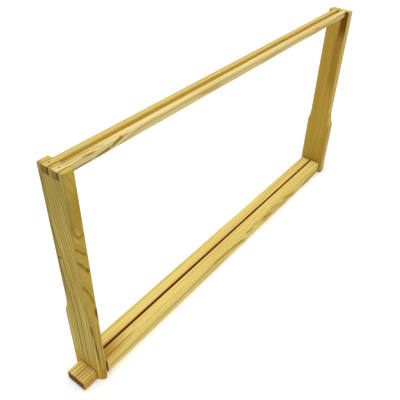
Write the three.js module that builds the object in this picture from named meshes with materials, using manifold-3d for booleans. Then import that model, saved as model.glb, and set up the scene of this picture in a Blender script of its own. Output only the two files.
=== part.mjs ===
// A self-spacing frame for a Langstroth beehive, empty, standing upside down on its top bar.
//
// Millimetres, +Z up. X runs along the frame and Y through its thickness. The origin is the middle
// of the face that the frame stands on, which is the upper face of the top bar when it hangs in a
// hive. The two side bars are one milled piece, used twice: the right one is the left one turned
// half round Z, so the frame looks the same from both sides and can hang either way round.

import * as THREE from "three";
import { mergeVertices } from "three/addons/utils/BufferGeometryUtils.js";
import Module from "manifold-3d";

const wasm = await Module();
wasm.setup();

// Driving dimensions
const FRAME_LENGTH = 448; // over the outer faces of the side bars
const FRAME_HEIGHT = 232;
const FIT_GAP = 0.3; // clearance in the notches
const GLUE_LINE = 0.1; // between faces that are pressed together

// Top bar: a thick body between the side bars, and a thin tongue at each end that runs through the
// side bar's notch and out beyond it as the lug
const LUG_LENGTH = 16; // beyond the side bar
const LUG_WIDTH = 22;
const LUG_THICKNESS = 9;
const BODY_WIDTH = 27.5;
const BODY_THICKNESS = 16;
const BODY_END_GAP = 1.2; // between the body's square shoulder and the side bar
const KERF_WIDTH = 2.4; // saw kerf that takes the edge of a sheet of wax foundation
const KERF_DEPTH = 6;

// Side bars: wide by the top bar, where neighbouring frames touch, and narrow beyond it, where the
// bees pass
const SIDE_THICKNESS = 9.8;
const WIDE_WIDTH = 35;
const NARROW_WIDTH = 26;
const SHOULDER_FOOT = 78; // height where the wide part ends
const SHOULDER_HEAD = 97; // height where the narrow part begins
const V_EDGE_DEPTH = 4.4; // one wide edge is planed to a blunt V and meets a neighbour's flat edge

// Bottom bars: a pair of thin strips, each in its own notch in the side bars' ends
const STRIP_WIDTH = 6;
const STRIP_DEPTH = 6.5;
const STRIP_NOTCH_WIDTH = 7.4;
const TONGUE_WIDTH = 2.6; // wood left standing between the two notches

// Fasteners: flat-head frame nails up through the tongues, and headless pins through the strips
const NAIL = { length: 32, shankRadius: 0.8, headRadius: 1.7, headThickness: 0.7, spacing: 11 };
const PIN = { length: 19, shankRadius: 0.5 };
const FASTENER_SET = 0.3; // how far a head is driven below the wood's surface
const PILOT_CLEARANCE = 0.2;
const PILOT_EXTRA_DEPTH = 1;
const FASTENER_SIDES = 12;

const RIGHT_THROUGH = 2 * FRAME_LENGTH; // depth of a sweep or cut that has to pass every face

// Worked out from those
const HALF_LENGTH = FRAME_LENGTH / 2;
const HALF_WIDE = WIDE_WIDTH / 2;
const HALF_NARROW = NARROW_WIDTH / 2;
const SIDE_CENTRE = HALF_LENGTH - SIDE_THICKNESS / 2; // distance of a side bar's mid-plane in X
const BODY_HALF_LENGTH = HALF_LENGTH - SIDE_THICKNESS - BODY_END_GAP;
const STRIP_NOTCH_INNER = TONGUE_WIDTH / 2;
const STRIP_NOTCH_OUTER = STRIP_NOTCH_INNER + STRIP_NOTCH_WIDTH;
const STRIP_SEAT = FRAME_HEIGHT - STRIP_DEPTH;

const X_AXIS = new THREE.Vector3(1, 0, 0);
const Y_AXIS = new THREE.Vector3(0, 1, 0);
const Z_AXIS = new THREE.Vector3(0, 0, 1);

// Pine varies from board to board, so each length of wood has its own tint
const PINE = {
  topBar: 0xd9bd72,
  sideBar: 0xa89858,
  strip: 0xe0ca7c,
};

function wood(color) {
  return new THREE.MeshStandardMaterial({ color, roughness: 0.62, metalness: 0 });
}

function steel() {
  return new THREE.MeshStandardMaterial({ color: 0x8f9296, roughness: 0.38, metalness: 1 });
}

// Solids: three.js geometry in, manifold for the cuts, three.js geometry out
function toSolid(geometry) {
  geometry.deleteAttribute("normal");
  geometry.deleteAttribute("uv");
  const welded = mergeVertices(geometry);
  return new wasm.Manifold(
    new wasm.Mesh({
      numProp: 3,
      vertProperties: new Float32Array(welded.attributes.position.array),
      triVerts: new Uint32Array(welded.index.array),
    }),
  );
}

function toGeometry(solid) {
  const mesh = solid.getMesh();
  const geometry = new THREE.BufferGeometry();
  geometry.setAttribute("position", new THREE.BufferAttribute(mesh.vertProperties, 3));
  geometry.setIndex(new THREE.BufferAttribute(mesh.triVerts, 1));
  geometry.computeVertexNormals();
  return geometry;
}

// A flat outline swept both ways from its own plane, its drawing axes laid along two of the frame's
function sweep(outline, across, up, thickness) {
  const along = new THREE.Vector3().crossVectors(across, up);
  const geometry = new THREE.ExtrudeGeometry(outline, { depth: thickness, bevelEnabled: false });
  geometry.translate(0, 0, -thickness / 2);
  geometry.applyMatrix4(new THREE.Matrix4().makeBasis(across, up, along));
  return toSolid(geometry);
}

function box(width, depth, height, x, y, z) {
  return toSolid(new THREE.BoxGeometry(width, depth, height).translate(x, y, z));
}

function outline(points) {
  return new THREE.Shape(points.map(([across, up]) => new THREE.Vector2(across, up)));
}

// A fastener points along +Z from its head at z = 0. Grown by a clearance it is its own pilot hole,
// which starts clear of the wood's surface and goes a little deeper than the point.
function fastener(kind, clearance) {
  const isHole = clearance > 0;
  const start = isHole ? -2 * FASTENER_SET : 0;
  const end = isHole ? kind.length + PILOT_EXTRA_DEPTH : kind.length;
  const shank = kind.shankRadius + clearance;
  const profile = [[0, start]];
  if (kind.headRadius) {
    const head = kind.headRadius + clearance;
    const neck = kind.headThickness + clearance;
    profile.push([head, start], [head, neck], [shank, neck]);
  } else {
    profile.push([shank, start]);
  }
  profile.push([shank, end - 2 * kind.shankRadius], [0, end]);
  const points = profile.map(([radius, z]) => new THREE.Vector2(radius, z));
  return new THREE.LatheGeometry(points, FASTENER_SIDES).rotateX(Math.PI / 2);
}

function nailPlaces() {
  const halfSpacing = NAIL.spacing / 2;
  return [
    { name: "top_nail_left_front", x: -SIDE_CENTRE, y: -halfSpacing },
    { name: "top_nail_left_back", x: -SIDE_CENTRE, y: halfSpacing },
    { name: "top_nail_right_front", x: SIDE_CENTRE, y: -halfSpacing },
    { name: "top_nail_right_back", x: SIDE_CENTRE, y: halfSpacing },
  ];
}

// Both strips are pushed towards the back of their notches, so the slack shows in front of each
const STRIP_PLACES = [
  { name: "front", y: -STRIP_NOTCH_INNER - GLUE_LINE - STRIP_WIDTH / 2 },
  { name: "back", y: STRIP_NOTCH_OUTER - GLUE_LINE - STRIP_WIDTH / 2 },
];

function pinPlaces() {
  return STRIP_PLACES.flatMap(({ name, y }) => [
    { name: `bottom_pin_left_${name}`, x: -SIDE_CENTRE, y },
    { name: `bottom_pin_right_${name}`, x: SIDE_CENTRE, y },
  ]);
}

// Nails go up from the face that the frame stands on, and pins go down from the opposite side
function nailGeometry(place, clearance) {
  return fastener(NAIL, clearance).translate(place.x, place.y, FASTENER_SET);
}

function pinGeometry(place, clearance) {
  const pin = fastener(PIN, clearance).rotateX(Math.PI);
  return pin.translate(place.x, place.y, FRAME_HEIGHT - FASTENER_SET);
}

function drill(solid, places, geometryOf) {
  let drilled = solid;
  for (const place of places) {
    drilled = drilled.subtract(toSolid(geometryOf(place, PILOT_CLEARANCE)));
  }
  return drilled;
}

// Top bar: the thick body, a thinner tongue right through it that fills the side bars' notches, and a
// lug at each end that carries the tongue on, less the kerf and the nail holes
function topBar() {
  const tongueZ = LUG_THICKNESS / 2;
  const body = box(2 * BODY_HALF_LENGTH, BODY_WIDTH, BODY_THICKNESS, 0, 0, BODY_THICKNESS / 2);
  let milled = body.add(box(FRAME_LENGTH, LUG_WIDTH, LUG_THICKNESS, 0, 0, tongueZ));
  const lugCentre = HALF_LENGTH + LUG_LENGTH / 2;
  for (const x of [-lugCentre, lugCentre]) {
    milled = milled.add(box(LUG_LENGTH, LUG_WIDTH, LUG_THICKNESS, x, 0, tongueZ));
  }
  const kerf = box(RIGHT_THROUGH, KERF_WIDTH, 2 * KERF_DEPTH, 0, 0, BODY_THICKNESS);
  return drill(milled.subtract(kerf), nailPlaces(), nailGeometry);
}

// Side bar: its front elevation, with a notch at each end, crossed with a plan that gives one wide
// edge its V. The V runs out by itself on the shoulder's curve. Drawn for the left-hand place.
function sideBar() {
  const step = HALF_WIDE - HALF_NARROW;
  const rise = SHOULDER_HEAD - SHOULDER_FOOT;
  const radius = (step * step + rise * rise) / (2 * step); // tangent to the narrow edge
  const sweptAngle = Math.asin(rise / radius);
  const tongueNotch = LUG_WIDTH / 2 + FIT_GAP;
  const elevation = new THREE.Shape();
  elevation.moveTo(tongueNotch, 0);
  elevation.lineTo(HALF_WIDE, 0);
  elevation.lineTo(HALF_WIDE, SHOULDER_FOOT);
  elevation.absarc(HALF_NARROW + radius, SHOULDER_HEAD, radius, Math.PI + sweptAngle, Math.PI, true);
  elevation.lineTo(HALF_NARROW, FRAME_HEIGHT);
  elevation.lineTo(-HALF_NARROW, FRAME_HEIGHT);
  elevation.absarc(-HALF_NARROW - radius, SHOULDER_HEAD, radius, 0, -sweptAngle, true);
  elevation.lineTo(-HALF_WIDE, 0);
  elevation.lineTo(-tongueNotch, 0);
  elevation.lineTo(-tongueNotch, LUG_THICKNESS + FIT_GAP);
  elevation.lineTo(tongueNotch, LUG_THICKNESS + FIT_GAP);
  const plan = outline([
    [-SIDE_THICKNESS / 2, HALF_WIDE],
    [-SIDE_THICKNESS / 2, V_EDGE_DEPTH - HALF_WIDE],
    [0, -HALF_WIDE],
    [SIDE_THICKNESS / 2, V_EDGE_DEPTH - HALF_WIDE],
    [SIDE_THICKNESS / 2, HALF_WIDE],
  ]);
  let milled = sweep(elevation, Y_AXIS, Z_AXIS, RIGHT_THROUGH)
    .intersect(sweep(plan, X_AXIS, Y_AXIS, RIGHT_THROUGH));
  const notchDepth = STRIP_DEPTH + FIT_GAP;
  const notchCentre = (STRIP_NOTCH_INNER + STRIP_NOTCH_OUTER) / 2;
  for (const y of [-notchCentre, notchCentre]) {
    milled = milled.subtract(box(RIGHT_THROUGH, STRIP_NOTCH_WIDTH, 2 * notchDepth, 0, y, FRAME_HEIGHT));
  }
  return milled;
}

// The piece is drilled in its own place, because the strips don't sit evenly in their notches
function placedSideBar(centreX, turn) {
  const isHere = (place) => place.x === centreX;
  const placed = toSolid(toGeometry(sideBar()).rotateZ(turn).translate(centreX, 0, 0));
  const nailed = drill(placed, nailPlaces().filter(isHere), nailGeometry);
  return drill(nailed, pinPlaces().filter(isHere), pinGeometry);
}

function bottomStrip(place) {
  const z = STRIP_SEAT + STRIP_DEPTH / 2;
  const strip = box(FRAME_LENGTH, STRIP_WIDTH, STRIP_DEPTH, 0, place.y, z);
  return drill(strip, pinPlaces().filter((pin) => pin.y === place.y), pinGeometry);
}

const frame = new THREE.Group();

function add(name, geometry, material) {
  const mesh = new THREE.Mesh(geometry, material);
  mesh.name = name;
  frame.add(mesh);
}

add("top_bar", toGeometry(topBar()), wood(PINE.topBar));
add("side_bar_left", toGeometry(placedSideBar(-SIDE_CENTRE, 0)), wood(PINE.sideBar));
add("side_bar_right", toGeometry(placedSideBar(SIDE_CENTRE, Math.PI)), wood(PINE.sideBar));
for (const place of STRIP_PLACES) {
  add(`bottom_bar_${place.name}`, toGeometry(bottomStrip(place)), wood(PINE.strip));
}
for (const place of nailPlaces()) {
  add(place.name, nailGeometry(place, 0), steel());
}
for (const place of pinPlaces()) {
  add(place.name, pinGeometry(place, 0), steel());
}

export default frame;
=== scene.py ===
"""A self-spacing frame for a Langstroth hive in bare pine, empty, standing upside down on its top bar.

The file makes it in the order that a joiner does: the top bar, the two side bars, the two bottom
bars, and the nails and pins that hold them. The floor, light and camera come last.
"""

import math

import bpy
from mathutils import Matrix, Vector


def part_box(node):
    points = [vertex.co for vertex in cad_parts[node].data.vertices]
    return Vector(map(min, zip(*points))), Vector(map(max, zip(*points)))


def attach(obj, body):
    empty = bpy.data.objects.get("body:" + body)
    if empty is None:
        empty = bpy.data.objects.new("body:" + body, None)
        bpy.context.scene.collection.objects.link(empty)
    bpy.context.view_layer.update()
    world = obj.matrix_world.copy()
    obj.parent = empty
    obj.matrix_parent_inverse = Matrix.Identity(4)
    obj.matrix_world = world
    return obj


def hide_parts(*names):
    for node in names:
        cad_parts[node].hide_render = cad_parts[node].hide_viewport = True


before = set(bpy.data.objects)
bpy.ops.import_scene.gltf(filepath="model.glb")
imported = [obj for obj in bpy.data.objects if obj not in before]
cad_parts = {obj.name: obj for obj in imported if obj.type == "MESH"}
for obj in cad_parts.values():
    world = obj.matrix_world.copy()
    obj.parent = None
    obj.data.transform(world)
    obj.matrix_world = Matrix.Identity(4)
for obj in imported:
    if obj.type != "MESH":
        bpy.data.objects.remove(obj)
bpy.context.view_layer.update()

# ---------------------------------------------------------------------------------------------------
# Top bar. One planed pine bar, thick between the side bars. Its ends are milled down to a tongue that
# fills the side bar's notch and runs out beyond it as the lug. A saw kerf along the middle of its
# comb side takes the edge of the wax sheet.

MM = 0.001
TONGUE_WIDTH = 22 * MM
TONGUE_THICKNESS = 9 * MM
BODY_END_GAP = 1.2 * MM  # between the body's shoulder and the side bar
KERF_WIDTH = 2.4 * MM
KERF_DEPTH = 6 * MM
ARRIS = 0.45 * MM  # how far sandpaper has eased the corners
PAST = 5 * MM  # how far a saw cut runs on past the wood
FACING = 0.9  # how squarely a face looks along an axis if it is to be picked
ARRIS_ANGLE = math.radians(20)  # a sharper corner than this is eased
ROUND_ANGLE = math.radians(32)  # a gentler corner than this is shaded as round


def plank(name, low, high):
    """A block of wood planed to size, with its place in its mesh."""
    bpy.ops.object.select_all(action="DESELECT")
    low, high = Vector(low), Vector(high)
    bpy.ops.mesh.primitive_cube_add(size=1, location=(low + high) / 2, scale=high - low)
    bpy.context.object.name = name
    bpy.ops.object.transform_apply(location=True, rotation=True, scale=True)
    return bpy.context.object


def pick(piece, test):
    """Opens a piece for editing, with only the faces that pass the test selected."""
    bpy.context.view_layer.objects.active = piece
    bpy.ops.object.mode_set(mode="EDIT")
    bpy.ops.mesh.select_mode(type="FACE")
    bpy.ops.mesh.select_all(action="DESELECT")
    bpy.ops.object.mode_set(mode="OBJECT")
    for face in piece.data.polygons:
        face.select = test(face)
    bpy.ops.object.mode_set(mode="EDIT")


def close(piece):
    """Ends the editing, and leaves nothing selected."""
    bpy.ops.object.mode_set(mode="OBJECT")
    bpy.ops.object.select_all(action="DESELECT")
    return piece


def apply_modifier(piece, kind, **settings):
    """Sets up a modifier on a piece and makes what it does part of the mesh."""
    modifier = piece.modifiers.new(kind.lower(), kind)
    for key, value in settings.items():
        setattr(modifier, key, value)
    bpy.context.view_layer.objects.active = piece
    bpy.ops.object.modifier_apply(modifier=modifier.name)


def cut(piece, cutter):
    """Takes the cutter's shape out of a piece, and throws the cutter away."""
    apply_modifier(piece, "BOOLEAN", object=cutter, operation="DIFFERENCE", solver="EXACT")
    bpy.data.objects.remove(cutter)


def ease(piece):
    """Rounds the arrises a little, as a few strokes of sandpaper do."""
    pick(piece, lambda face: True)
    bpy.ops.mesh.dissolve_limited(angle_limit=math.radians(1))
    close(piece)
    apply_modifier(piece, "BEVEL", width=ARRIS, segments=3, angle_limit=ARRIS_ANGLE)


def smooth(piece):
    """Shades the eased arrises as round and leaves the planed faces flat."""
    piece.select_set(True)
    bpy.context.view_layer.objects.active = piece
    bpy.ops.object.shade_smooth_by_angle(angle=ROUND_ANGLE)
    apply_modifier(piece, "WEIGHTED_NORMAL", keep_sharp=True)
    piece.select_set(False)


bar_low, bar_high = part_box("top_bar")
body_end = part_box("side_bar_right")[0].x - BODY_END_GAP

top_bar = plank("top_bar_planed", (-body_end, bar_low.y, 0), (body_end, bar_high.y, bar_high.z))
for place, normal in (
    ((0, 0, TONGUE_THICKNESS), (0, 0, 1)),
    ((0, TONGUE_WIDTH / 2, 0), (0, 1, 0)),
    ((0, -TONGUE_WIDTH / 2, 0), (0, 1, 0)),
):
    pick(top_bar, lambda face: True)
    bpy.ops.mesh.bisect(plane_co=place, plane_no=normal)
    close(top_bar)
for side in (-1, 1):
    pick(
        top_bar,
        lambda face: face.normal.x * side > FACING
        and face.center.z < TONGUE_THICKNESS
        and abs(face.center.y) < TONGUE_WIDTH / 2,
    )
    reach = side * (bar_high.x - body_end)
    bpy.ops.mesh.extrude_region_move(TRANSFORM_OT_translate={"value": (reach, 0, 0)})
    close(top_bar)
cut(
    top_bar,
    plank(
        "kerf",
        (-body_end - PAST, -KERF_WIDTH / 2, bar_high.z - KERF_DEPTH),
        (body_end + PAST, KERF_WIDTH / 2, bar_high.z + PAST),
    ),
)
ease(top_bar)


def linear(code):
    """An sRGB hex colour as the linear one that shaders work in."""
    parts = [int(code[i : i + 2], 16) / 255 for i in (1, 3, 5)]
    return (*[c / 12.92 if c <= 0.04045 else ((c + 0.055) / 1.055) ** 2.4 for c in parts], 1)


def wire(tree, kind, sockets=None, **settings):
    """Adds a node, sets it up and fills its inputs, and gives its first output in use."""
    made = tree.nodes.new("ShaderNode" + kind)
    for key, value in settings.items():
        setattr(made, key, value)
    for name, value in (sockets or {}).items():
        if isinstance(name, int):
            socket = made.inputs[name]
        else:
            socket = [s for s in made.inputs if s.enabled and s.name == name][0]
        if isinstance(value, bpy.types.NodeSocket):
            tree.links.new(value, socket)
        else:
            socket.default_value = value
    return [s for s in made.outputs if s.enabled][0]


RING_WANDER = 4 * MM  # how far the rings stray from round
RING_WANDER_LENGTH = 26 * MM
RESIN_PATCH = 22 * MM
RESIN_DASH = 1.3 * MM
FIBRE = 1.1 * MM  # bundles of fibres on real wood are half that, too fine to show
RUBBED_EDGE = 0.9 * MM  # how far from a corner the wood is rubbed dark
GRAIN_RELIEF = 0.06 * MM
SQUARE = (1, 0, 0)  # the direction of a mark that lies square to the frame


def pine(
    name, heart, along, ring, reach, early, late, warm, ends, seed,
    growth=1.0, swerves=(), marks=(),
):
    """Planed bare pine, solid all through: matt, the colour of pale honey, with thin brown lines.

    Its growth rings lie round the line of the tree's heart, which runs through the point heart in the
    direction along. All sizes are in millimetres. A year is as wide as ring at the distance reach from
    the heart, and with growth above 1 the years get narrower outwards. A swerve is (place along the
    grain, half length, how far the rings move). A mark is a soft-edged box of another colour: (centre,
    direction, half sizes, how far each side fades, colour, strength).
    """
    material = bpy.data.materials.new(name)
    material.use_nodes = True
    tree = material.node_tree
    shader = tree.nodes["Principled BSDF"]
    shader.inputs["Specular IOR Level"].default_value = 0.05  # raw wood hardly shines
    place = wire(tree, "TexCoord").node.outputs["Object"]
    heart = Vector(heart) * MM
    along = Vector(along).normalized()
    turn = along.to_track_quat("Z", "Y").to_euler()
    local = wire(
        tree, "Mapping", {"Vector": place, "Location": heart, "Rotation": turn}, vector_type="TEXTURE"
    )

    # The rings wander by a millimetre or so every few centimetres, and slowly along the grain
    slow = wire(tree, "VectorMath", {0: local, 1: (1, 1, 0.15)}, operation="MULTIPLY")
    wander = wire(
        tree, "TexNoise",
        {
            "Vector": slow,
            "W": seed,
            "Scale": 1 / RING_WANDER_LENGTH,
            "Detail": 2.0,
            "Roughness": 0.45,
        },
        noise_dimensions="4D",
    ).node.outputs["Color"]
    centred = wire(tree, "VectorMath", {0: wander, 1: (0.5, 0.5, 0.5)}, operation="SUBTRACT")
    moved = wire(
        tree, "VectorMath",
        {0: centred, 1: (RING_WANDER, RING_WANDER, 0), 2: local},
        operation="MULTIPLY_ADD",
    )
    flat = wire(tree, "VectorMath", {0: moved, 1: (1, 1, 0)}, operation="MULTIPLY")
    radius = wire(tree, "VectorMath", {0: flat}, operation="LENGTH").node.outputs["Value"]
    run = wire(tree, "SeparateXYZ", {0: local}).node.outputs["Z"]
    for centre, half_length, sideways in swerves:
        offset = wire(tree, "Math", {0: run, 1: centre * MM}, operation="SUBTRACT")
        distance = wire(tree, "Math", {0: offset}, operation="ABSOLUTE")
        hump = wire(
            tree, "MapRange",
            {"Value": distance, "From Max": half_length * MM, "To Min": sideways * MM, "To Max": 0.0},
            interpolation_type="SMOOTHSTEP",
        )
        radius = wire(tree, "Math", {0: radius, 1: hump}, operation="ADD")

    # A year is pale early wood that darkens to a thin hard line of late wood
    share = wire(tree, "Math", {0: radius, 1: 1 / (reach * MM)}, operation="MULTIPLY")
    grown = wire(tree, "Math", {0: share, 1: growth}, operation="POWER")
    years = wire(tree, "Math", {0: grown, 1: reach / (growth * ring)}, operation="MULTIPLY")
    uneven = wire(tree, "TexNoise", {"W": years, "Scale": 0.8, "Detail": 0.0}, noise_dimensions="1D")
    dated = wire(tree, "Math", {0: uneven, 1: 1.1, 2: years}, operation="MULTIPLY_ADD")
    year = wire(tree, "Math", {0: dated}, operation="FLOOR")
    season = wire(tree, "Math", {0: dated}, operation="FRACT")
    ramp = wire(tree, "ValToRGB", {0: season}).node
    stops = ramp.color_ramp.elements
    stops[0].color = stops[1].color = (0.45, 0.45, 0.45, 1)
    for position, darkness in ((0.14, 0.0), (0.45, 0.08), (0.72, 0.5), (0.88, 1.0)):
        stops.new(position).color = (darkness, darkness, darkness, 1)
    luck = wire(tree, "TexWhiteNoise", {"W": year}, noise_dimensions="1D")
    strength = wire(tree, "MapRange", {"Value": luck, "To Min": 0.5, "To Max": 1.0})
    hardness = wire(tree, "Math", {0: ramp.outputs[0], 1: strength}, operation="MULTIPLY")
    colour = wire(
        tree, "Mix", {"Factor": hardness, "A": linear(early), "B": linear(late)}, data_type="RGBA"
    )

    # Warm patches a few centimetres long, where the wood holds more resin
    patch = wire(
        tree, "TexNoise",
        {"Vector": slow, "W": seed + 5, "Scale": 1 / RESIN_PATCH},
        noise_dimensions="4D",
    )
    resin = wire(
        tree, "MapRange", {"Value": patch, "From Min": 0.45, "From Max": 0.8, "To Max": 0.6}
    )
    colour = wire(tree, "Mix", {"Factor": resin, "A": colour, "B": linear(warm)}, data_type="RGBA")

    # Fibres are fifty times as long as they are wide, some paler and some darker
    drawn_out = wire(tree, "VectorMath", {0: local, 1: (1, 1, 0.02)}, operation="MULTIPLY")
    fibre = wire(
        tree, "TexNoise",
        {"Vector": drawn_out, "W": seed, "Scale": 1 / FIBRE, "Detail": 3.0, "Roughness": 0.6},
        noise_dimensions="4D",
    )
    tone = wire(
        tree, "MapRange",
        {"Value": fibre, "From Min": 0.3, "From Max": 0.7, "To Min": 0.87, "To Max": 1.1},
    )
    colour = wire(tree, "VectorMath", {0: colour, "Scale": tone}, operation="SCALE")

    # Short dashes of resin, a few millimetres long
    dashes = wire(tree, "VectorMath", {0: local, 1: (1, 1, 0.12)}, operation="MULTIPLY")
    dash = wire(
        tree, "TexNoise",
        {"Vector": dashes, "W": seed + 9, "Scale": 1 / RESIN_DASH},
        noise_dimensions="4D",
    )
    bled = wire(
        tree, "MapRange", {"Value": dash, "From Min": 0.66, "From Max": 0.75, "To Max": 0.5}
    )
    colour = wire(tree, "Mix", {"Factor": bled, "A": colour, "B": linear(late)}, data_type="RGBA")

    # Sawn ends drink the light, so the cut fibres are darker
    normal = wire(tree, "NewGeometry").node.outputs["True Normal"]
    facing = wire(tree, "VectorMath", {0: normal, 1: along}, operation="DOT_PRODUCT")
    squareness = wire(tree, "Math", {0: facing.node.outputs["Value"]}, operation="ABSOLUTE")
    sawn = wire(
        tree, "MapRange", {"Value": squareness, "From Min": 0.6, "From Max": 0.9, "To Max": 0.75}
    )
    colour = wire(tree, "Mix", {"Factor": sawn, "A": colour, "B": linear(ends)}, data_type="RGBA")

    # Marks in known places: resin, a wall that the saw has scorched, painted shade in joints, gaps and
    # corners, and painted light on a shaded face. The fibres fray their edges.
    for centre, way, half_sizes, fades, tint, most in marks:
        fades = Vector((fades, fades, fades) if isinstance(fades, (int, float)) else fades) * MM
        own = wire(
            tree, "Mapping",
            {
                "Vector": place,
                "Location": Vector(centre) * MM,
                "Rotation": Vector(way).to_track_quat("X", "Z").to_euler(),
            },
            vector_type="TEXTURE",
        )
        mirrored = wire(tree, "VectorMath", {0: own}, operation="ABSOLUTE")
        halves = Vector(half_sizes) * MM
        past = wire(tree, "VectorMath", {0: mirrored, 1: halves}, operation="SUBTRACT")
        outside = wire(tree, "VectorMath", {0: past, 1: (0, 0, 0)}, operation="MAXIMUM")
        shares = wire(tree, "VectorMath", {0: outside, 1: fades}, operation="DIVIDE")
        away = wire(tree, "VectorMath", {0: shares}, operation="LENGTH").node.outputs["Value"]
        ragged = wire(tree, "Math", {0: fibre, 1: 0.8, 2: away}, operation="MULTIPLY_ADD")
        there = wire(
            tree, "MapRange",
            {"Value": ragged, "From Min": 0.3, "From Max": 1.4, "To Min": most, "To Max": 0.0},
            interpolation_type="SMOOTHSTEP",
        )
        colour = wire(tree, "Mix", {"Factor": there, "A": colour, "B": linear(tint)}, data_type="RGBA")

    # Handling has darkened the arrises a little
    rounded = wire(tree, "Bevel", {"Radius": RUBBED_EDGE}, samples=4)
    edge = wire(tree, "VectorMath", {0: rounded, 1: normal}, operation="DOT_PRODUCT")
    rubbed = wire(
        tree, "MapRange",
        {"Value": edge.node.outputs["Value"], "From Min": 0.995, "From Max": 0.85, "To Max": 0.3},
    )
    colour = wire(tree, "Mix", {"Factor": rubbed, "A": colour, "B": linear(late)}, data_type="RGBA")

    # Late wood is hard and shiny and stands up a little, and the fibres catch the light
    relief = wire(tree, "Math", {0: fibre, 1: 0.7, 2: hardness}, operation="MULTIPLY_ADD")
    bump = wire(tree, "Bump", {"Height": relief, "Distance": GRAIN_RELIEF, "Strength": 0.6})
    gloss = wire(tree, "MapRange", {"Value": relief, "To Min": 0.68, "To Max": 0.52})
    tree.links.new(colour, shader.inputs["Base Color"])
    tree.links.new(gloss, shader.inputs["Roughness"])
    tree.links.new(bump, shader.inputs["Normal"])
    return material


def line(points, half_width, fade, tint, most):
    """The marks for a line of darker wood through the points, in millimetres as all marks are. Each
    stretch of it tapers off at its ends, where it overlaps the next."""
    marks = []
    for start, end in zip(points, points[1:]):
        start, end = Vector(start), Vector(end)
        length = (end - start).length
        sizes = (0.3 * length, half_width, half_width)
        fades = (max(fade, 0.35 * length), fade, fade)
        marks.append(((start + end) / 2, end - start, sizes, fades, tint, most))
    return marks


SCORCHED = "#A64800"
HANDLED_END = "#603C00"
RUN_OUT_YEARS = "#B68200"
FRONT = -13.7  # just inside the bar's front face, in millimetres

top_bar.data.materials.append(
    pine(
        "planed_pine_top_bar", heart=(0, 90, -8), along=(1, 0, 0), ring=2.2, reach=90,
        early="#E4D07A", late="#B48C34", warm="#D0AC54", ends="#6A3C06", seed=3.0,
        swerves=[(190, 240, 9)],
        marks=[
            # The saw has scorched the walls of its cut
            ((0, 0, 12.4), SQUARE, (240, 1.3, 3.2), 0.3, SCORCHED, 1.0),
            # The ends are dirty from handling
            *[
                ((end * 242, 0, 4), SQUARE, (2.3, 12, 5), (0.5, 1, 1), HANDLED_END, 0.95)
                for end in (-1, 1)
            ],
            # Dark years along the lugs, and their warmer front faces
            *[
                ((end * 232, y, 9), SQUARE, (8, 0.1, 0.3), (3, 0.7, 1), "#7E4C00", 0.65)
                for end in (-1, 1)
                for y in (-9.2, -5.6, -2.6, 1.4, 4.2, 8.0)
            ],
            *[
                ((end * 232, -11, 4), SQUARE, (9, 0.4, 5), (1, 0.6, 1), "#B8862A", 0.8)
                for end in (-1, 1)
            ],
            # Painted shade in the narrow gap between each shoulder and its side bar
            *[((end * 213, 0, 8), SQUARE, (0.3, 14, 9), 0.4, "#7A3E04", 0.9) for end in (-1, 1)],
            # Painted shade, browner, on the top face in the corner beside the left side bar, and a
            # thin brown line along the grain there
            ((-213, -6, 16), SQUARE, (6, 3, 1), (38, 8, 6), "#A87A18", 0.85),
            *line([(-216, -9.5, 16), (-170, -9, 16)], 0.3, 1.2, "#96600E", 0.6),
            # Streaks where the rings run out on the front face
            *line(
                [(-47, FRONT, 12.4), (-10, FRONT, 9.4), (14, FRONT, 6.4)],
                0.8, 1.9, RUN_OUT_YEARS, 1.0,
            ),
            *line([(20, FRONT, 12.6), (36, FRONT, 9.8)], 0.7, 1.9, RUN_OUT_YEARS, 1.0),
            *line([(57, FRONT, 11), (82, FRONT, 6)], 1.0, 2.1, RUN_OUT_YEARS, 1.0),
            *line([(112, FRONT, 9), (142, FRONT, 4)], 0.9, 2.1, RUN_OUT_YEARS, 1.0),
            *line([(165, FRONT, 2), (213, FRONT, 5)], 1.2, 2.6, "#AC7E08", 0.95),
        ],
    )
)
smooth(top_bar)
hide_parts("top_bar")
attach(top_bar, "root")

# ---------------------------------------------------------------------------------------------------
# Side bars. Pine again, from another board: wide by the top bar, where neighbouring frames touch, and
# narrow beyond it, where the bees pass. One wide edge is planed to a blunt V. The foot is notched for
# the top bar's tongue, and the head for the two bottom bars. The right one is the left one turned.

NARROW_WIDTH = 26 * MM
SHOULDER_FOOT = 78 * MM
SHOULDER_HEAD = 97 * MM
SHOULDER_STEPS = 8
V_EDGE_DEPTH = 4.4 * MM
FIT_GAP = 0.3 * MM
STRIP_TONGUE = 2.6 * MM  # wood left standing between the two notches
STRIP_NOTCH_WIDTH = 7.4 * MM

side_low, side_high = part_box("side_bar_left")
strip_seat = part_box("bottom_bar_front")[0].z
side_x = (side_low.x + side_high.x) / 2
half_narrow = NARROW_WIDTH / 2

side_bar = plank(
    "side_bar_left_planed",
    (side_low.x, -half_narrow, SHOULDER_HEAD), (side_high.x, half_narrow, side_high.z),
)
step = side_high.y - half_narrow
rise = SHOULDER_HEAD - SHOULDER_FOOT
arc_radius = (step**2 + rise**2) / (2 * step)
arc_angle = math.asin(rise / arc_radius)
pick(side_bar, lambda face: face.normal.z < -FACING)
half, height = half_narrow, SHOULDER_HEAD
for i in range(1, SHOULDER_STEPS + 1):
    angle = arc_angle * i / SHOULDER_STEPS
    new_half = half_narrow + arc_radius * (1 - math.cos(angle))
    new_height = SHOULDER_HEAD - arc_radius * math.sin(angle)
    bpy.ops.mesh.extrude_region_move(TRANSFORM_OT_translate={"value": (0, 0, new_height - height)})
    bpy.ops.transform.resize(value=(1, new_half / half, 1), center_override=(side_x, 0, new_height))
    half, height = new_half, new_height
bpy.ops.mesh.extrude_region_move(TRANSFORM_OT_translate={"value": (0, 0, -height)})
close(side_bar)
half_thickness = side_high.x - side_x
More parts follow.
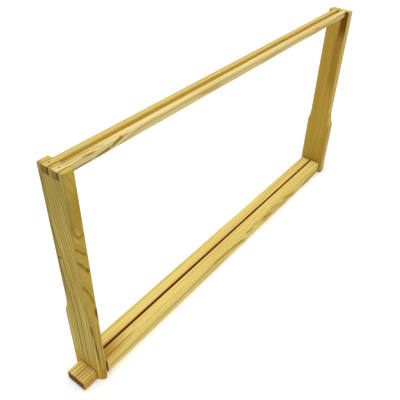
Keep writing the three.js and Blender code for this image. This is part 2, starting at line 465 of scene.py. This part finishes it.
for side in (-1, 1):
    pick(side_bar, lambda face: True)
    outwards = Vector((side * V_EDGE_DEPTH, -half_thickness, 0)).normalized()
    bpy.ops.mesh.bisect(
        plane_co=(side_x, side_low.y, 0), plane_no=outwards, clear_outer=True, use_fill=True
    )
    close(side_bar)
notch_half = TONGUE_WIDTH / 2 + FIT_GAP
cut(
    side_bar,
    plank(
        "tongue_notch",
        (side_low.x - PAST, -notch_half, -PAST),
        (side_high.x + PAST, notch_half, TONGUE_THICKNESS + FIT_GAP),
    ),
)
for side in (-1, 1):
    centre = side * (STRIP_TONGUE + STRIP_NOTCH_WIDTH) / 2
    cut(
        side_bar,
        plank(
            "strip_notch",
            (side_low.x - PAST, centre - STRIP_NOTCH_WIDTH / 2, strip_seat - FIT_GAP),
            (side_high.x + PAST, centre + STRIP_NOTCH_WIDTH / 2, side_high.z + PAST),
        ),
    )
ease(side_bar)

side_bar.select_set(True)
bpy.context.view_layer.objects.active = side_bar
bpy.ops.object.duplicate()
far_bar = bpy.context.object
far_bar.name = "side_bar_right_planed"
bpy.ops.transform.rotate(value=math.pi, orient_axis="Z", center_override=(0, 0, 0))
bpy.ops.object.transform_apply(location=True, rotation=True, scale=True)
far_bar.select_set(False)

SLANTED_YEARS = "#7C5600"
PALER_EDGE = "#C6B066"
OUTER = -224  # the left bar's outer face, in millimetres
EDGE = -13  # the front of the narrow part
INNER = 214.2  # the right bar's inner face

side_bar.data.materials.append(
    pine(
        "planed_pine_left_side_bar", heart=(-232, 30, 0), along=(0, 0, 1), ring=3.3, reach=30,
        early="#D2BB5C", late="#523600", warm="#A8842A", ends="#C4A656", seed=7.0,
        growth=1.25, swerves=[(260, 190, 22)],
        marks=[
            # The V edge is plain, and darker at its foot
            ((-219, -16.8, 48), SQUARE, (6, 1.6, 46), (1, 1.2, 4), "#B09640", 0.7),
            ((-219, -16.8, 6), SQUARE, (6, 1.6, 4), (1, 1.2, 9), "#8A6408", 0.5),
            # Browner wood along the back of the outer face
            ((OUTER, 11.5, 165), SQUARE, (1, 1.2, 55), (3, 2.2, 24), "#7A6418", 0.5),
            # A resin line that runs off over the V edge
            *line(
                [(OUTER, -12.4, 103), (-222.8, -14.2, 60), (-221.8, -16.4, 4)],
                0.25, 1.2, "#6E4400", 0.9,
            ),
            # The narrow edge is cut along the years, so it is plain but for those that slant out
            ((-219, EDGE - 0.4, 158), SQUARE, (6, 0.9, 78), (1, 0.8, 4), "#B79A3C", 0.8),
            ((-219, EDGE - 0.4, 200), SQUARE, (6, 0.9, 8), (1, 0.8, 14), "#96741C", 0.5),
            *line(
                [(OUTER, EDGE, 189), (-221.6, EDGE, 177), (-219, EDGE, 174), (-215, EDGE, 176)],
                0.1, 1.5, SLANTED_YEARS, 0.7,
            ),
            *line(
                [(OUTER, EDGE, 167), (-220.6, EDGE, 161.7), (-216, EDGE, 155)],
                0.1, 1.7, SLANTED_YEARS, 0.75,
            ),
            *line(
                [(OUTER - 0.7, EDGE, 154), (-219.5, EDGE, 145), (-215.5, EDGE, 136)],
                0.2, 1.9, SLANTED_YEARS, 0.8,
            ),
            *line([(-217.5, EDGE, 141), (-215.2, EDGE, 137)], 0.6, 2.0, "#7A5604", 0.7),
            *line(
                [(OUTER, EDGE, 127), (-218.4, EDGE, 112.6), (-215.7, EDGE, 99)],
                0.1, 2.0, SLANTED_YEARS, 0.7,
            ),
            # A dark fleck at the shoulder, and a pin knot
            *line([(-214.6, EDGE, 94), (-214.6, EDGE - 1, 79)], 1.3, 2.2, "#6A3400", 1.0),
            ((OUTER, 9, 145), SQUARE, (0.4, 0.8, 1.0), 1.3, "#7A5510", 0.9),
            # Painted shade, warm and brown, on the outer face just above the lug; dirt from hands at
            # the head; and painted shade in the joint with the lug
            ((OUTER, 0, 12), SQUARE, (2, 16, 2), (4, 4, 20), "#D29A2C", 0.5),
            ((OUTER, 0, 226), SQUARE, (1, 17, 8), (3, 3, 60), "#8E7C38", 0.35),
            ((OUTER, 0, 9.4), SQUARE, (1, 11, 0.6), 0.8, "#4A2600", 0.95),
        ],
    )
)
far_bar.data.materials.append(
    pine(
        "planed_pine_right_side_bar", heart=(240, 60, 0), along=(0.01, 0.006, 1), ring=2.6, reach=75,
        early="#C2A242", late="#A07C28", warm="#AA8028", ends="#CCB070", seed=11.0,
        marks=[
            # Partly painted shadow cast by the front bottom bar down the inner face, partly a darker
            # streak of heartwood there
            ((INNER, -9.5, 224), SQUARE, (0.6, 3.5, 12), (1.6, 4, 26), "#683800", 0.95),
            ((INNER, -6, 170), SQUARE, (0.6, 2, 20), (1.6, 5, 44), "#80540A", 0.45),
            # Its front edge is paler
            ((219, -13.3, 164), SQUARE, (6, 0.5, 68), (1, 0.7, 3), PALER_EDGE, 0.8),
            ((219, -16.5, 88), SQUARE, (6, 2.4, 8), (1, 0.8, 3), PALER_EDGE, 0.8),
            ((219, -17.5, 42), SQUARE, (6, 0.8, 36), (1, 0.8, 3), "#C6AE62", 0.6),
        ],
    )
)
for piece, node in ((side_bar, "side_bar_left"), (far_bar, "side_bar_right")):
    smooth(piece)
    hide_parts(node)
    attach(piece, "root")

# ---------------------------------------------------------------------------------------------------
# Bottom bars. Two thin strips of paler pine, pushed down into the notches in the side bars' heads,
# with a slot between them for the wax sheet's lower edge.

# Painted shadow in the slits where the bottom bars' ends meet the side bars' notches
SLIT_SHADOW = "#5A3006"
BROWN_STREAK = "#C09A38"
STRIP_FRONT = -7.4  # the front bar's front face, in millimetres
STRIP_TOP = 232

strips = {}
for name, settings in {
    "front": dict(
        heart=(0, 80, 195), along=(1, 0, 0), ring=2.0, reach=85, seed=17.0,
        early="#DDCE90", late="#AC8434", warm="#D0A458", ends="#6E4E0A",
        swerves=[(-198, 62, 3.6), (260, 160, 5)],
        marks=[
            # One dark year comes out on the front face in a long curve, and meets the arris
            *line(
                [(-214, STRIP_FRONT, 225.9), (-192, STRIP_FRONT, 225.9)],
                0.8, 1.3, "#886400", 0.9,
            ),
            *line(
                [(-192, STRIP_FRONT, 225.9), (-175, STRIP_FRONT, 228.4), (-163, STRIP_FRONT, 231.6)],
                0.7, 1.3, "#8C6A04", 0.9,
            ),
            # Others come out on the top
            *line(
                [(-202, STRIP_FRONT + 0.1, STRIP_TOP), (-190, STRIP_FRONT + 0.1, STRIP_TOP - 0.2)],
                0.4, 1.2, "#9A7808", 0.8,
            ),
            *line(
                [
                    (-217, -2.7, STRIP_TOP),
                    (-204, -2.9, STRIP_TOP),
                    (-192, -4.1, STRIP_TOP),
                    (-180, -6.6, STRIP_TOP),
                ],
                0.15, 0.8, "#94741C", 0.8,
            ),
            *line(
                [(-217, -5.2, STRIP_TOP), (-203, -5.6, STRIP_TOP), (-194, -7, STRIP_TOP)],
                0.15, 0.7, "#94741C", 0.7,
            ),
            # Browner streaks along the rest of the front face
            *line([(-75, STRIP_FRONT, 230), (-40, STRIP_FRONT, 228)], 0.3, 2.4, BROWN_STREAK, 0.7),
            *line([(25, STRIP_FRONT, 227), (62, STRIP_FRONT, 229.4)], 0.3, 2.4, BROWN_STREAK, 0.65),
            *line([(120, STRIP_FRONT, 227), (205, STRIP_FRONT, 229)], 0.4, 2.4, "#AC861C", 0.5),
            # Painted shadow in the slit at each end, by the notch
            *[
                ((end * 223.6, STRIP_FRONT, 228), SQUARE, (0.9, 0.3, 3), 0.7, SLIT_SHADOW, 0.85)
                for end in (-1, 1)
            ],
        ],
    ),
    "back": dict(
        heart=(0, 70, 160), along=(1, 0, 0), ring=1.8, reach=90, seed=23.0,
        early="#C9B466", late="#A88034", warm="#C29C48", ends="#6E4E0A",
        marks=[
            # The face in the slot is painted much brighter and warmer than the wood: painted light
            # that lifts the shade in the slot
            ((0, 2.6, 228), SQUARE, (213.6, 0.3, 3.2), 0.5, "#E0B640", 0.95),
            # Painted shadow in the slit at each end of the slot face
            *[
                ((end * 223.6, 2.6, 228), SQUARE, (0.9, 0.3, 3), 0.7, SLIT_SHADOW, 0.85)
                for end in (-1, 1)
            ],
        ],
    ),
}.items():
    node = "bottom_bar_" + name
    strip = plank(node + "_planed", *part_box(node))
    ease(strip)
    strip.data.materials.append(pine("planed_pine_" + node, **settings))
    smooth(strip)
    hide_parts(node)
    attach(strip, "root")
    strips[name] = strip

# ---------------------------------------------------------------------------------------------------
# Nails and pins, of bright drawn steel wire. Nails, each a flat head, a round shank and a blunt point,
# go up through the top bar's tongues into the side bars, and their heads are sunk into the wood.
# Headless pins go down through the ends of the bottom bars, and are set just under the wood's face.

NAIL_SHANK = 0.8 * MM  # a radius, as all shanks and heads are given
NAIL_HEAD_THICKNESS = 0.7 * MM
NAIL_POINT = 2.2 * MM
NAIL_ARRIS = 0.12 * MM
PIN_POINT = 1.0 * MM
PIN_ARRIS = 0.06 * MM
METAL_ANGLE = math.radians(50)  # a sharper corner than this is rounded
BLUNTNESS = 0.2  # how wide the tip of a point is, as a share of the shank
CLEARANCE = 0.2 * MM
HOLE_SPARE = PAST / 5  # how far a hole goes on past the nail
ROUND = 24  # sides of a round thing
DRAW_LINES = 0.12 * MM  # coarser than the real ones, so that they show
GRIME_SPOT = 0.9 * MM
WORN_RIM = 0.15 * MM


def drawn_steel():
    """Bright steel wire with fine draw lines along it and a little dull grime."""
    material = bpy.data.materials.new("drawn_steel_wire")
    material.use_nodes = True
    tree = material.node_tree
    shader = tree.nodes["Principled BSDF"]
    shader.inputs["Metallic"].default_value = 1.0
    place = wire(tree, "TexCoord").node.outputs["Object"]
    stretched = wire(tree, "VectorMath", {0: place, 1: (1, 1, 0.03)}, operation="MULTIPLY")
    lines = wire(tree, "TexNoise", {"Vector": stretched, "Scale": 1 / DRAW_LINES, "Detail": 2.0})
    grime = wire(tree, "TexNoise", {"Vector": place, "Scale": 1 / GRIME_SPOT, "Detail": 3.0})
    dull = wire(tree, "MapRange", {"Value": grime, "From Min": 0.5, "From Max": 0.7, "To Max": 0.6})
    colour = wire(
        tree, "Mix", {"Factor": dull, "A": linear("#A9A8A4"), "B": linear("#6E665A")}, data_type="RGBA"
    )
    normal = wire(tree, "NewGeometry").node.outputs["True Normal"]
    rounded = wire(tree, "Bevel", {"Radius": WORN_RIM}, samples=4)
    edge = wire(tree, "VectorMath", {0: rounded, 1: normal}, operation="DOT_PRODUCT")
    rubbed = wire(
        tree, "MapRange",
        {"Value": edge.node.outputs["Value"], "From Min": 0.995, "From Max": 0.85, "To Max": 0.6},
    )
    colour = wire(
        tree, "Mix", {"Factor": rubbed, "A": colour, "B": linear("#C9C8C4")}, data_type="RGBA"
    )
    gloss = wire(tree, "MapRange", {"Value": grime, "To Min": 0.28, "To Max": 0.5})
    bump = wire(tree, "Bump", {"Height": lines, "Distance": 0.01 * MM, "Strength": 0.5})
    tree.links.new(colour, shader.inputs["Base Color"])
    tree.links.new(gloss, shader.inputs["Roughness"])
    tree.links.new(bump, shader.inputs["Normal"])
    return material


def rod(name, radius, low, high):
    """A length of round wire that stands on end over the origin."""
    bpy.ops.object.select_all(action="DESELECT")
    bpy.ops.mesh.primitive_cylinder_add(
        vertices=ROUND, radius=radius, depth=high - low, location=(0, 0, (low + high) / 2)
    )
    bpy.context.object.name = name
    bpy.ops.object.transform_apply(location=True, rotation=True, scale=True)
    return bpy.context.object


def move(piece, x, y, z):
    """Moves a piece's mesh, so that its origin stays at the frame's."""
    piece.select_set(True)
    bpy.context.view_layer.objects.active = piece
    bpy.ops.transform.translate(value=(x, y, z))
    bpy.ops.object.transform_apply(location=True, rotation=True, scale=True)
    piece.select_set(False)
    return piece


def sharpen(piece, point, facing):
    """Draws the end of a wire that faces up (1) or down (-1) out into a blunt point."""
    pick(piece, lambda face: face.normal.z * facing > FACING)
    bpy.ops.mesh.extrude_region_move(TRANSFORM_OT_translate={"value": (0, 0, facing * point)})
    bpy.ops.transform.resize(value=(BLUNTNESS, BLUNTNESS, 1))
    return close(piece)


steel = drawn_steel()
nail_low, nail_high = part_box("top_nail_left_front")
nail_head = (nail_high.x - nail_low.x) / 2
nail_length = nail_high.z - nail_low.z
nail = rod("nail", nail_head, 0, NAIL_HEAD_THICKNESS)
pick(nail, lambda face: face.normal.z > FACING)
bpy.ops.mesh.inset(thickness=nail_head - NAIL_SHANK)
bpy.ops.mesh.extrude_region_move(
    TRANSFORM_OT_translate={"value": (0, 0, nail_length - NAIL_HEAD_THICKNESS - NAIL_POINT)}
)
close(nail)
apply_modifier(nail, "BEVEL", width=NAIL_ARRIS, segments=2, angle_limit=METAL_ANGLE)
sharpen(nail, NAIL_POINT, 1)

pin_low, pin_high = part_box("bottom_pin_left_front")
pin_shank = (pin_high.x - pin_low.x) / 2
pin = rod("pin", pin_shank, PIN_POINT, pin_high.z - pin_low.z)
apply_modifier(pin, "BEVEL", width=PIN_ARRIS, segments=2, angle_limit=METAL_ANGLE)
sharpen(pin, PIN_POINT, -1)

for side, wood in (("left", side_bar), ("right", far_bar)):
    for row in ("front", "back"):
        for kind, model, head in (("top_nail", nail, nail_head), ("bottom_pin", pin, pin_shank)):
            node = f"{kind}_{side}_{row}"
            low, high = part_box(node)
            x, y = (low.x + high.x) / 2, (low.y + high.y) / 2
            model.select_set(True)
            bpy.context.view_layer.objects.active = model
            bpy.ops.object.duplicate()
            piece = bpy.context.object
            piece.name = node + "_driven"
            move(piece, x, y, low.z)
            piece.data.materials.append(steel)
            smooth(piece)
            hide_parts(node)
            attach(piece, "root")

            # The hole that it has made, and the dent that its head sits in
            shank = NAIL_SHANK if model is nail else pin_shank
            for other in (wood, top_bar if model is nail else strips[row]):
                hole = rod("hole", shank + CLEARANCE, low.z - PAST, high.z + HOLE_SPARE)
                cut(other, move(hole, x, y, 0))
            if model is nail:
                dent = rod("dent", head + CLEARANCE, -PAST, low.z + NAIL_HEAD_THICKNESS)
                cut(top_bar, move(dent, x, y, 0))
for model in (nail, pin):
    bpy.data.objects.remove(model)

# ---------------------------------------------------------------------------------------------------
# Floor, light and camera. A matt white floor, as of studio paper, lies under one big soft light
# overhead. A weak, wide light fills in the front, and the room adds an even glow.

FLOOR_SIZE = 40
GLOW = 0.42
FILL_PLACE = (0, -3.0, 1.2)
FILL_TURN = 8  # all angles here are in degrees
FILL_TILT = 68
SOFTBOX_PLACE = (-0.1, 0.1, 3.2)
LENS = 44.24
CAMERA_PLACE = (-0.3758, -0.2366, 0.4155)
CAMERA_TURN = -53.33
CAMERA_DIP = 38.09
CAMERA_ROLL = 1.644

bpy.ops.mesh.primitive_plane_add(size=FLOOR_SIZE)
floor = bpy.context.object
floor.name = "floor"
paper = bpy.data.materials.new("matt_white_floor")
paper.use_nodes = True
paper_shader = paper.node_tree.nodes["Principled BSDF"]
paper_shader.inputs["Base Color"].default_value = linear("#FFFFFF")
paper_shader.inputs["Roughness"].default_value = 0.9
floor.data.materials.append(paper)

world = bpy.data.worlds.new("studio")
bpy.context.scene.world = world
world.use_nodes = True
world.node_tree.nodes["Background"].inputs["Color"].default_value = (1, 1, 1, 1)
world.node_tree.nodes["Background"].inputs["Strength"].default_value = GLOW

fill = bpy.data.lights.new("front_fill", "AREA")
fill.shape = "DISK"
fill.size = 2.0
fill.energy = 9
fill_box = bpy.data.objects.new("front_fill", fill)
fill_box.matrix_world = (
    Matrix.Rotation(math.radians(FILL_TURN), 4, "Z")
    @ Matrix.Translation(FILL_PLACE)
    @ Matrix.Rotation(math.radians(FILL_TILT), 4, "X")
)
bpy.context.scene.collection.objects.link(fill_box)

lamp = bpy.data.lights.new("overhead_softbox", "AREA")
lamp.shape = "DISK"
lamp.size = 2.6
lamp.energy = 89
softbox = bpy.data.objects.new("overhead_softbox", lamp)
softbox.location = SOFTBOX_PLACE
bpy.context.scene.collection.objects.link(softbox)

bpy.context.scene.view_settings.view_transform = "Standard"

camera_data = bpy.data.cameras.new("camera")
camera_data.lens = LENS
camera = bpy.data.objects.new("camera", camera_data)
bpy.context.scene.collection.objects.link(camera)
bpy.context.scene.camera = camera
turned = Matrix.Rotation(math.radians(CAMERA_TURN), 3, "Z")
tipped = Matrix.Rotation(math.radians(90 - CAMERA_DIP), 3, "X")
rolled = Matrix.Rotation(math.radians(CAMERA_ROLL), 3, "Z")
camera.matrix_world = Matrix.Translation(CAMERA_PLACE) @ (turned @ tipped @ rolled).to_4x4()
camera_data.clip_start = 0.01
